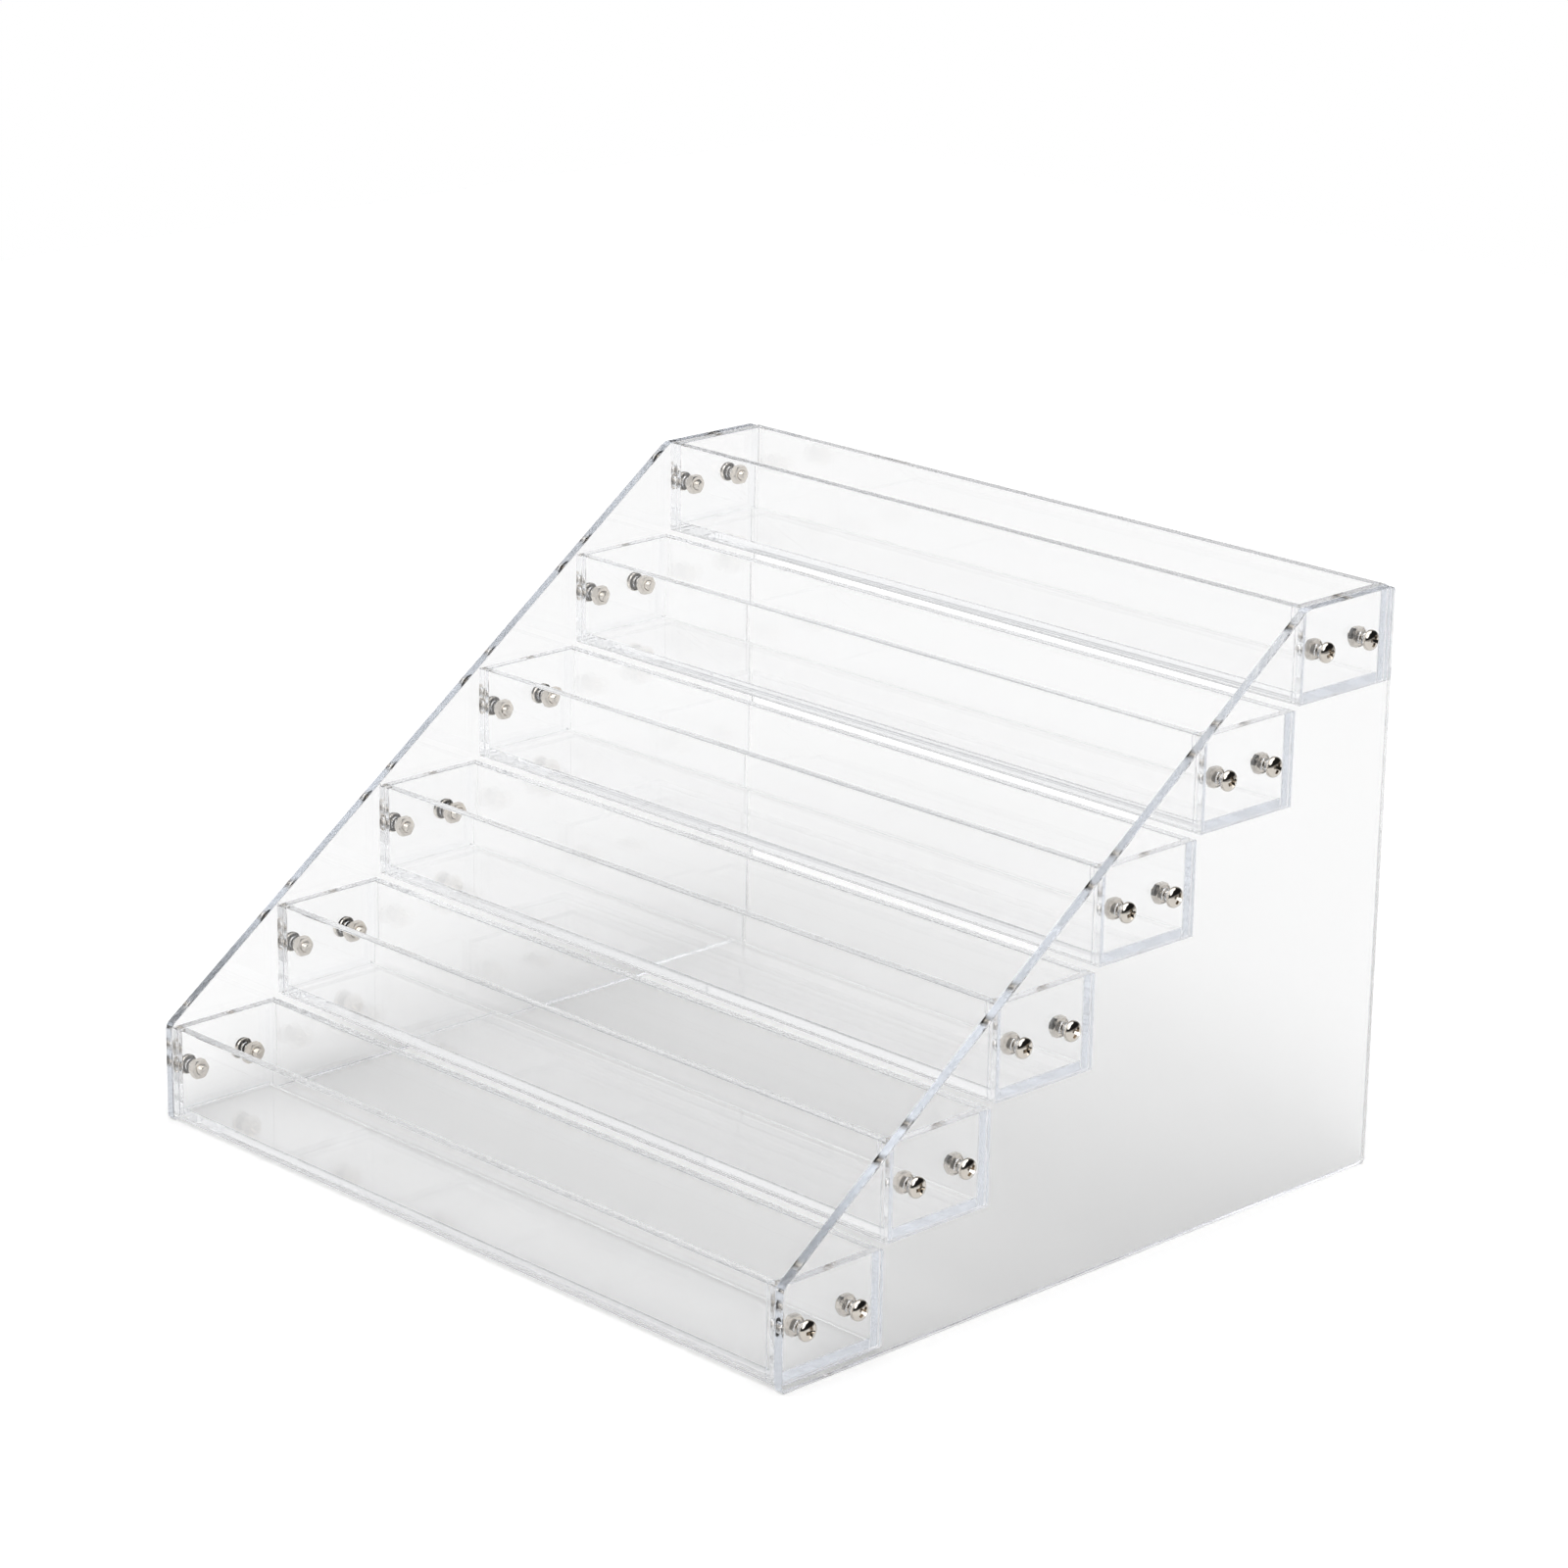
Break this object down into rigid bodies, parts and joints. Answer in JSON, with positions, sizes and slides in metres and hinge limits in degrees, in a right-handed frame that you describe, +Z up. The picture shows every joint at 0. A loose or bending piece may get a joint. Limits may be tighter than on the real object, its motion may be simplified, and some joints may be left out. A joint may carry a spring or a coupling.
{
  "type": "stepped display rack",
  "caption": "Clear acrylic stair-shaped rack: open trays bolted one above another between two sloping side panels.",
  "frame": {"origin": "middle of the footprint, on the table, under the bottom edges of the side panels", "axes": "+X along the trays to the viewer's right, -Y is the low open front, +Z is up"},
  "size_m": [0.2648, 0.2354, 0.1735],
  "materials": {
    "clear_acrylic": "clear cast acrylic sheet, polished faces and edges",
    "nickel_plated_steel": "bright nickel plating"
  },
  "bodies": {
    "root": {"side_panel_left": "clear_acrylic", "screws_left": "nickel_plated_steel", "nuts_left": "nickel_plated_steel", "side_panel_right": "clear_acrylic", "screws_right": "nickel_plated_steel", "nuts_right": "nickel_plated_steel", "tray_1_floor": "clear_acrylic", "tray_1_front_wall": "clear_acrylic", "tray_1_back_wall": "clear_acrylic", "tray_1_left_end": "clear_acrylic", "tray_1_right_end": "clear_acrylic", "tray_2_floor": "clear_acrylic", "tray_2_front_wall": "clear_acrylic", "tray_2_back_wall": "clear_acrylic", "tray_2_left_end": "clear_acrylic", "tray_2_right_end": "clear_acrylic", "tray_3_floor": "clear_acrylic", "tray_3_front_wall": "clear_acrylic", "tray_3_back_wall": "clear_acrylic", "tray_3_left_end": "clear_acrylic", "tray_3_right_end": "clear_acrylic", "tray_4_floor": "clear_acrylic", "tray_4_front_wall": "clear_acrylic", "tray_4_back_wall": "clear_acrylic", "tray_4_left_end": "clear_acrylic", "tray_4_right_end": "clear_acrylic", "tray_5_floor": "clear_acrylic", "tray_5_front_wall": "clear_acrylic", "tray_5_back_wall": "clear_acrylic", "tray_5_left_end": "clear_acrylic", "tray_5_right_end": "clear_acrylic", "tray_6_floor": "clear_acrylic", "tray_6_front_wall": "clear_acrylic", "tray_6_back_wall": "clear_acrylic", "tray_6_left_end": "clear_acrylic", "tray_6_right_end": "clear_acrylic"}
  },
  "joints": []
}
